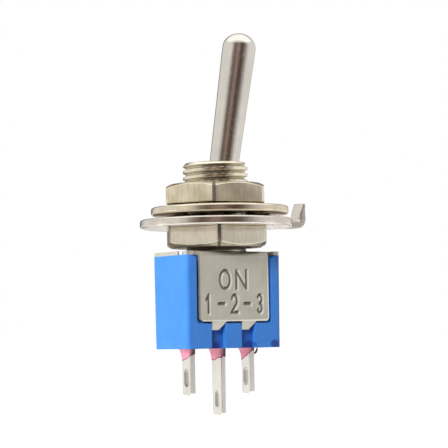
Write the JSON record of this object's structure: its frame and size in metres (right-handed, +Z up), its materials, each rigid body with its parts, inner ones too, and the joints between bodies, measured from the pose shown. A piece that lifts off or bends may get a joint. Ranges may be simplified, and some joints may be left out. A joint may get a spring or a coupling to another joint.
{
  "type": "toggle switch",
  "caption": "Sub-miniature panel toggle switch with a bat lever, a threaded bushing with its nuts and washers, a moulded case in a stamped frame, and solder lugs.",
  "frame": {"origin": "on the bushing axis, level with the top face of the panel nut", "axes": "+X along the row of terminals towards the locking tab, -Y towards the stamped front, +Z up the bushing towards the lever"},
  "size_m": [0.0141, 0.0118, 0.0298],
  "materials": {
    "blue_moulding": "semi-matte moulded",
    "plated_stamping": "nickel plated, rolled",
    "plated_turning": "nickel plated, turned",
    "plated_nut": "nickel plated, drawn flats",
    "plated_washer": "nickel plated, tumbled",
    "polished_lever": "bright nickel plated",
    "nylon": "natural",
    "spring_wire": "drawn wire",
    "contact_strip": "rolled copper alloy",
    "silver_contact": "satin silver",
    "plated_lug": "silver plated",
    "sealing_resin": "cast resin"
  },
  "bodies": {
    "housing": {"case": "blue_moulding", "switch_frame": "plated_stamping", "bushing": "plated_turning", "backing_nut": "plated_nut", "locking_ring": "plated_washer", "lock_washer": "plated_washer", "panel_nut": "plated_nut", "fixed_contact_1": "silver_contact", "fixed_contact_3": "silver_contact", "terminal_1": "plated_lug", "common_terminal": "plated_lug", "terminal_3": "plated_lug", "epoxy_seal": "sealing_resin"},
    "toggle": {"lever": "polished_lever", "lever_pin": "plated_washer", "plunger_spring": "spring_wire"},
    "plunger": {"plunger": "nylon"},
    "rocker": {"rocker": "contact_strip", "moving_contact_1": "silver_contact", "moving_contact_3": "silver_contact"}
  },
  "joints": [
    {"name": "lever_tilt", "type": "hinge", "parent": "housing", "child": "toggle", "pos_m": [0, 0, -0.00312], "axis": [0, 1, 0], "range_deg": [-20, 0]},
    {"name": "plunger_slide", "type": "slide", "parent": "toggle", "child": "plunger", "axis": [0.1736, 0, 0.9848], "range_m": [0, 0.00025], "stiffness_N_per_m": 200, "springref_m": -0.0005, "deforming": ["plunger_spring"]},
    {"name": "rocker_tilt", "type": "hinge", "parent": "housing", "child": "rocker", "pos_m": [0, 0, -0.00977], "axis": [0, 1, 0], "range_deg": [0, 12]}
  ],
  "couplings": [
    {"joint": "rocker_tilt", "follows": "lever_tilt", "ratio": -0.6}
  ]
}
